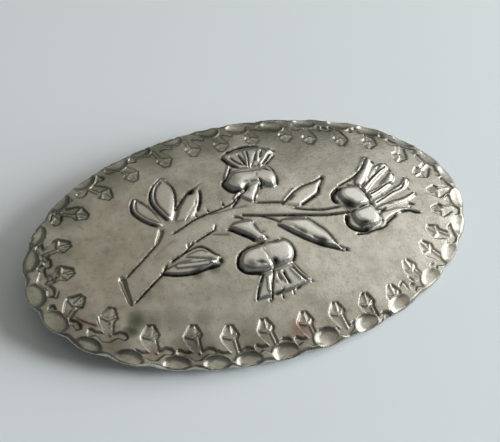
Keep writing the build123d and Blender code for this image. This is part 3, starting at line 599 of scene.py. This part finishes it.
def strikeHollows(spots, face):
    for x, y, strike in hollows:
        centre = np.array((x, y))
        near = nearPlace(spots, centre, hollow["reach"])
        outwards = np.array((x / plate["halfLength"]**2, y / plate["halfWidth"]**2))
        outwards /= np.linalg.norm(outwards)
        across = (spots[near] - centre) @ outwards / hollow["across"]
        along = (spots[near] - centre) @ np.array((-outwards[1], outwards[0])) / hollow["along"]
        away = np.hypot(across, along)
        bowl = np.clip(1 - hollow["round"] * away**2 - (1 - hollow["round"]) * away**4, 0, 1)
        share = np.clip((1 + hollow["blend"] - away) / hollow["blend"], 0, 1)
        ring = strike * hollow["ring"] * hill(away - hollow["ringAt"], hollow["ringHalf"])
        ring *= np.clip(hollow["ringSide"] - across, 0, 1)
        face["cut"][near] = (1 - share) * face["cut"][near] + share * strike * hollow["depth"] * bowl
        face["tarnishAndShade"][near] = (1 - share) * face["tarnishAndShade"][near] + share * ring
        keepLess(face["edge"], near, np.abs(away - 1) * hollow["meanHalf"] + hollow["edgeGap"])


# The face's relief at each spot, with how high the back is pushed up, how dark it is painted with tarnish
# and shade, how near it is to an edge, and how much it is painted brighter for wear and sheen
def reliefAt(spots):
    face = {name: np.zeros(len(spots)) for name in ("raised", "back", "cut", "tarnishAndShade")}
    face["edge"] = np.full(len(spots), far)
    for work in (raiseSwells, leaveRidges, chaseLines, punchMarks, strikeHollows):
        work(spots, face)
    x, y = spots.T
    first, second, third, fourth = ripple["scales"]
    waves = np.sin(x / first + ripple["sway"] * np.sin(y / second)) * np.sin(y / third + np.sin(x / fourth))
    face["relief"] = face["raised"] - face["cut"] + ripple["height"] * waves
    # Painted shade and grime: darker the nearer a spot is to an edge of a form
    face["tarnishAndShade"] = np.maximum(face["tarnishAndShade"], wearAndPaintedLight["grimeAndShade"] * np.exp(-face["edge"] / wearAndPaintedLight["grimeAndShadeReach"]))
    # Painted sheen and wear: what stands high is painted brighter
    face["wearAndSheen"] = np.clip(face["raised"] / wearAndPaintedLight["wearAndSheenRise"], 0, 1)
    return face


# The stain and painted shade at each spot as a colour, with its share in the fourth place
def stainAndShadeAt(spots):
    stainAndShade = np.zeros((len(spots), 4))
    for x, y, reach, share, colour in stainsAndShade:
        amount = share * hill(np.linalg.norm(spots - (x, y), axis=1), reach)
        more = amount > stainAndShade[:, 3]
        stainAndShade[more] = np.column_stack((np.tile(tint(stainAndShadeTints[colour])[:3], (more.sum(), 1)), amount[more]))
    return stainAndShade


# From a square to the oval with its lobed edge
def toOval(flat):
    u = flat[:, 0] * np.sqrt(1 - flat[:, 1] ** 2 / 2)
    v = flat[:, 1] * np.sqrt(1 - flat[:, 0] ** 2 / 2)
    places = np.sort([math.atan2(y / plate["halfWidth"], x / plate["halfLength"]) for x, y, _ in hollows])
    places = np.concatenate((places[-1:] - 2 * math.pi, places, places[:1] + 2 * math.pi))
    turn = np.arctan2(v, u)
    count = np.interp(turn, places, np.arange(len(places)))
    crest = 1 - 4 * (count - np.round(count)) ** 2
    lobe = plate["lobeRise"] * (crest - 0.5) * np.hypot(u, v) ** plate["lobeFade"]
    spread = 1 + lobe / plate["halfWidth"]
    return np.stack((u * plate["halfLength"] * spread, v * plate["halfWidth"] * spread), axis=1)


def sortByPlace(parts, placeOf):
    ranks = {part: rank for rank, part in enumerate(sorted(parts, key=lambda part: tuple(placeOf(part))))}
    parts.sort(key=ranks.get)


# The sheet starts as a thin square slab of cells. Its face is at 1, its back at -1 and the middle of its
# rim at 0. Solidify adds the rim in another order on each run, so all is sorted by its place.
def startSlab():
    bm = bmesh.new()
    bmesh.ops.create_grid(bm, x_segments=int(2 * plate["halfLength"] / cells["size"]),
                          y_segments=int(2 * plate["halfWidth"] / cells["size"]), size=1)
    bmesh.ops.solidify(bm, geom=bm.faces[:], thickness=cells["slab"])
    heights = [v.co.z for v in bm.verts]
    middle = (min(heights) + max(heights)) / 2
    for vert in bm.verts:
        vert.co.z = 1 if vert.co.z > middle else -1
    rimEdges = [e for e in bm.edges if abs(e.verts[0].co.z - e.verts[1].co.z) > 1]
    bmesh.ops.subdivide_edges(bm, edges=rimEdges, cuts=1)
    sortByPlace(bm.verts, lambda vert: vert.co)
    sortByPlace(bm.edges, lambda edge: edge.verts[0].co + edge.verts[1].co)
    sortByPlace(bm.faces, lambda cell: cell.calc_center_median())
    return bm


# How much the face bends within each cell, from the relief at its centre and at two far corners
def bendOf(faces, relief):
    corners = np.array([(f.verts[0].co[:2], f.verts[len(f.verts) // 2].co[:2]) for f in faces])
    one, other = (reliefAt(toOval(corners[:, side]))["relief"] for side in (0, 1))
    return np.abs(relief - (one + other) / 2) + np.abs(one - other) / 4


# Divides the cells of the face near any form, and then those in which it still bends
def divideFace(bm):
    for step in ("middle", "fine"):
        faces = [f for f in bm.faces if all(v.co.z > 0.5 for v in f.verts)]
        face = reliefAt(toOval(np.array([f.calc_center_median()[:2] for f in faces])))
        if step == "middle":
            chosen = face["edge"] < cells["nearForm"]
        else:
            chosen = bendOf(faces, face["relief"]) > cells["bend"]
        wanted = {e for f, isChosen in zip(faces, chosen) if isChosen for e in f.edges}
        edges = [e for e in bm.edges if e in wanted]
        bmesh.ops.subdivide_edges(bm, edges=edges, cuts=1, use_grid_fill=True)
        print("face cells", len(bm.faces))


# Spreads the slab to the oval, moves its corners to the worked face and back, and gives each corner what
# the material needs to know
def workSlab(mesh):
    flat = np.empty(len(mesh.vertices) * 3)
    mesh.vertices.foreach_get("co", flat)
    flat = flat.reshape(-1, 3)
    spots = toOval(flat[:, :2])
    face = reliefAt(spots)
    fromRim = (1 - np.abs(flat[:, :2]).max(axis=1)) * plate["halfWidth"]
    worn = wearAndPaintedLight["rimDrop"] * np.clip(1 - fromRim / wearAndPaintedLight["rimReach"], 0, 1) ** 2
    dome = domeAt(spots)
    front, behind = flat[:, 2] > 0.5, flat[:, 2] < -0.5
    under = dome - plate["sheet"] + plate["backShare"] * face["back"] + worn
    height = np.maximum(dome + face["relief"] - worn, under + plate["thinnest"])
    z = np.where(front, height, np.where(behind, under, (height + under) / 2))
    bulge = 1 + np.where(front | behind, 0, plate["rimBulge"]) / np.linalg.norm(spots, axis=1).clip(1)
    mesh.vertices.foreach_set("co", np.column_stack((spots * bulge[:, None], z)).ravel())
    for name, kind, key, values in (
            ("tarnishAndShade", "FLOAT", "value", np.where(front, face["tarnishAndShade"], wearAndPaintedLight["backTarnish"])),
            ("wearAndSheen", "FLOAT", "value", face["wearAndSheen"] * front),
            ("stainAndShade", "FLOAT_COLOR", "color", stainAndShadeAt(spots) * front[:, None])):
        mesh.attributes.new(name, kind, "POINT").data.foreach_set(key, values.ravel())


def buildPlate():
    bm = startSlab()
    divideFace(bm)
    mesh = bpy.data.meshes.new("sheet")
    bm.to_mesh(mesh)
    bm.free()
    workSlab(mesh)
    mesh.transform(toTable)
    mesh.shade_smooth()
    sheet = bpy.data.objects.new("workedSheet", mesh)
    bpy.context.scene.collection.objects.link(sheet)
    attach(sheet, "root")
    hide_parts("plate")
    mesh.calc_loop_triangles()
    print("sheet triangles", len(mesh.loop_triangles))
    return sheet


# Silver, planished and worn to a satin: bright warm grey with duller clouds and fine scratches, painted
# brighter on what stands high for wear and a painted sheen, dark sulphide and painted shade in whatever is
# below the face and near its edges, and a few stains and patches of painted shade. Pattern sizes and
# depths are in mm.
silver = {"clean": "#D8D6C8", "worn": "#C3C0B1", "bright": "#F0EFE6", "tarnishAndShade": "#15130F",
          "roughness": 0.26, "dullRoughness": 0.42, "rubbed": 0.85, "darkMost": 0.92,
          "cloud": 2.6, "cloudDetail": 5, "cloudFrom": 0.38, "cloudTo": 0.66,
          "speck": 0.8, "speckDetail": 4, "speckRough": 0.65, "speckFrom": 0.5, "speckTo": 0.75,
          "speckDark": 0.32, "scratch": 2.5, "scratchTurn": 0.5, "scratchSqueeze": 14, "scratchDepth": 0.03,
          "grain": 0.35, "grainDepth": 0.05, "fineDetail": 3, "bump": 0.35}


def addNoise(tree, place, size, detail, rough=0.5):
    return addNode(tree, "ShaderNodeTexNoise", inputs={
        "Vector": place, "Scale": 1 / (size * mm), "Detail": detail, "Roughness": rough}).outputs["Fac"]


def addMix(tree, share, under, over):
    return addNode(tree, "ShaderNodeMix", {"data_type": "RGBA"}, {
        "Factor": share, "A": under, "B": over}).outputs["Result"]


def makeSilver(name, isWorked):
    material, shader = startMaterial(name)
    tree = material.node_tree
    place = addNode(tree, "ShaderNodeTexCoord").outputs["Object"]
    cloud = addNoise(tree, place, silver["cloud"], silver["cloudDetail"])
    patch = addNode(tree, "ShaderNodeMapRange", inputs={
        "Value": cloud, "From Min": silver["cloudFrom"], "From Max": silver["cloudTo"]}).outputs["Result"]
    shade = addMix(tree, patch, tint(silver["clean"]), tint(silver["worn"]))
    amount = patch
    if isWorked:
        # Painted sheen and wear: what stands high is mixed toward the bright colour and kept clear of specks
        wearAndSheen = addNode(tree, "ShaderNodeAttribute", {"attribute_name": "wearAndSheen"}).outputs["Fac"]
        shade = addMix(tree, wearAndSheen, shade, tint(silver["bright"]))
        # Stains, and patches of painted shade in creases and on the shaded sides of forms
        stainAndShade = addNode(tree, "ShaderNodeAttribute", {"attribute_name": "stainAndShade"}).outputs
        shade = addMix(tree, stainAndShade["Alpha"], shade, stainAndShade["Color"])
        speck = addNoise(tree, place, silver["speck"], silver["speckDetail"], silver["speckRough"])
        dirt = addNode(tree, "ShaderNodeMapRange", inputs={
            "Value": speck, "From Min": silver["speckFrom"], "From Max": silver["speckTo"],
            "To Max": silver["speckDark"]}).outputs["Result"]
        dark = addNode(tree, "ShaderNodeAttribute", {"attribute_name": "tarnishAndShade"}).outputs["Fac"]
        unworn = addNode(tree, "ShaderNodeMath", {"operation": "MULTIPLY_ADD"}, {
            0: wearAndSheen, 1: -silver["rubbed"], 2: 1.0}).outputs["Value"]
        whole = addNode(tree, "ShaderNodeMath", {"operation": "MULTIPLY_ADD"}, {
            0: dirt, 1: unworn, 2: dark}).outputs["Value"]
        amount = addNode(tree, "ShaderNodeMath", {"operation": "MULTIPLY", "use_clamp": True}, {
            0: whole, 1: silver["darkMost"]}).outputs["Value"]
        # Painted shade and tarnish: the dark colour in lines, marks, hollows and near every edge
        shade = addMix(tree, amount, shade, tint(silver["tarnishAndShade"]))
    tree.links.new(shade, shader.inputs["Base Color"])
    shader.inputs["Metallic"].default_value = 1
    dull = addNode(tree, "ShaderNodeMapRange", inputs={
        "Value": amount, "To Min": silver["roughness"], "To Max": silver["dullRoughness"]}).outputs["Result"]
    tree.links.new(dull, shader.inputs["Roughness"])
    drawn = addNode(tree, "ShaderNodeMapping", inputs={
        "Vector": place, "Rotation": (0, 0, silver["scratchTurn"]),
        "Scale": (1, silver["scratchSqueeze"], 1)}).outputs["Vector"]
    scratch = addNoise(tree, drawn, silver["scratch"], silver["fineDetail"])
    grain = addNoise(tree, place, silver["grain"], silver["fineDetail"])
    scratched = addNode(tree, "ShaderNodeBump", inputs={
        "Height": scratch, "Strength": silver["bump"],
        "Distance": silver["scratchDepth"] * mm}).outputs["Normal"]
    bump = addNode(tree, "ShaderNodeBump", inputs={
        "Height": grain, "Strength": silver["bump"], "Distance": silver["grainDepth"] * mm,
        "Normal": scratched}).outputs["Normal"]
    tree.links.new(bump, shader.inputs["Normal"])
    return material


sheet = buildPlate()
sheet.data.materials.append(makeSilver("planished silver", True))
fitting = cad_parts["pin"]
fitting.data.materials.clear()
fitting.data.materials.append(makeSilver("drawn silver wire", False))
print("brooch built")
